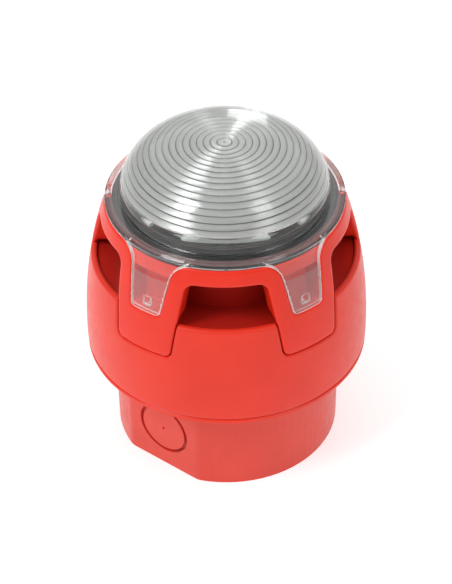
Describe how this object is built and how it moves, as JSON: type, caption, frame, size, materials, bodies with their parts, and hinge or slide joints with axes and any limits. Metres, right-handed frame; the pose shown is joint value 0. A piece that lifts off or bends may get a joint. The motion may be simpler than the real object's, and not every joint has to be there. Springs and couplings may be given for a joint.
{
  "type": "horn strobe",
  "caption": "Round red wall-mounted fire alarm sounder with a clear domed beacon lens, side sound outlets and a deep base that the head twists off.",
  "frame": {"origin": "centre of the base's back face, which lies against the wall", "axes": "+Z out of the wall towards the lens, -Y towards the side with the sound outlet seen in front, +X to the right of it"},
  "size_m": [0.0972, 0.0972, 0.1172],
  "materials": {
    "base_red": "satin",
    "head_red": "satin gloss",
    "frame_red": "satin gloss",
    "inner_red": "satin",
    "black_moulding": "matt",
    "zinc_screw": "zinc plated",
    "terminal_brass": "plated",
    "seal_rubber": "matt",
    "board_green": "solder mask",
    "board_black": "solder mask",
    "switch_blue": "matt",
    "lever_white": "matt",
    "capacitor_sleeve": "satin",
    "ferrite": "matt",
    "ring_nylon": "satin",
    "disc_brass": "satin",
    "ceramic": "matt",
    "wire_red": "satin",
    "cable_grey": "satin",
    "emitter_yellow": "gloss",
    "optic_clear": "clear",
    "reflector_white": "gloss",
    "lens_clear": "clear polycarbonate"
  },
  "bodies": {
    "base": {"base_shell": "base_red", "terminal_carrier": "black_moulding", "carrier_screws": "zinc_screw", "terminal_clamps": "terminal_brass", "terminal_screws": "zinc_screw", "contact_springs": "terminal_brass"},
    "head": {"rear_cover": "head_red", "base_seal": "seal_rubber", "contact_pins": "terminal_brass", "main_board": "board_green", "board_screws": "zinc_screw", "switch_body": "switch_blue", "volume_body": "switch_blue", "driver_chips": "black_moulding", "capacitors": "capacitor_sleeve", "step_up_coil": "ferrite", "sounder_cap": "inner_red", "cap_screws": "zinc_screw", "disc_support_ring": "ring_nylon", "sounder_disc": "disc_brass", "sounder_ceramic": "ceramic", "sounder_wires": "wire_red", "horn_body": "inner_red", "outer_cowl": "head_red", "horn_frame": "frame_red", "frame_screws": "zinc_screw", "lamp_cable": "cable_grey", "lamp_board": "board_black", "lamp_screws": "zinc_screw", "lamp_emitters": "emitter_yellow", "lamp_optic": "optic_clear", "reflector": "reflector_white", "lens_seal": "seal_rubber", "lens": "lens_clear"},
    "lever_1": {"switch_lever_1": "lever_white"},
    "lever_2": {"switch_lever_2": "lever_white"},
    "lever_3": {"switch_lever_3": "lever_white"},
    "lever_4": {"switch_lever_4": "lever_white"},
    "lever_5": {"switch_lever_5": "lever_white"},
    "lever_6": {"switch_lever_6": "lever_white"},
    "volume_knob": {"volume_rotor": "lever_white"}
  },
  "joints": [
    {"name": "head_twist", "type": "hinge", "parent": "base", "child": "head", "pos_m": [0, 0, 0.03], "axis": [0, 0, 1], "range_deg": [0, 24]},
    {"name": "lever_1_slide", "type": "slide", "parent": "head", "child": "lever_1", "axis": [0, 1, 0], "range_m": [0, 0.002]},
    {"name": "lever_2_slide", "type": "slide", "parent": "head", "child": "lever_2", "axis": [0, 1, 0], "range_m": [0, 0.002]},
    {"name": "lever_3_slide", "type": "slide", "parent": "head", "child": "lever_3", "axis": [0, 1, 0], "range_m": [0, 0.002]},
    {"name": "lever_4_slide", "type": "slide", "parent": "head", "child": "lever_4", "axis": [0, 1, 0], "range_m": [0, 0.002]},
    {"name": "lever_5_slide", "type": "slide", "parent": "head", "child": "lever_5", "axis": [0, 1, 0], "range_m": [0, 0.002]},
    {"name": "lever_6_slide", "type": "slide", "parent": "head", "child": "lever_6", "axis": [0, 1, 0], "range_m": [0, 0.002]},
    {"name": "volume_turn", "type": "hinge", "parent": "head", "child": "volume_knob", "pos_m": [0, -0.009, 0.0375], "axis": [0, 0, -1], "range_deg": [-135, 135]}
  ]
}
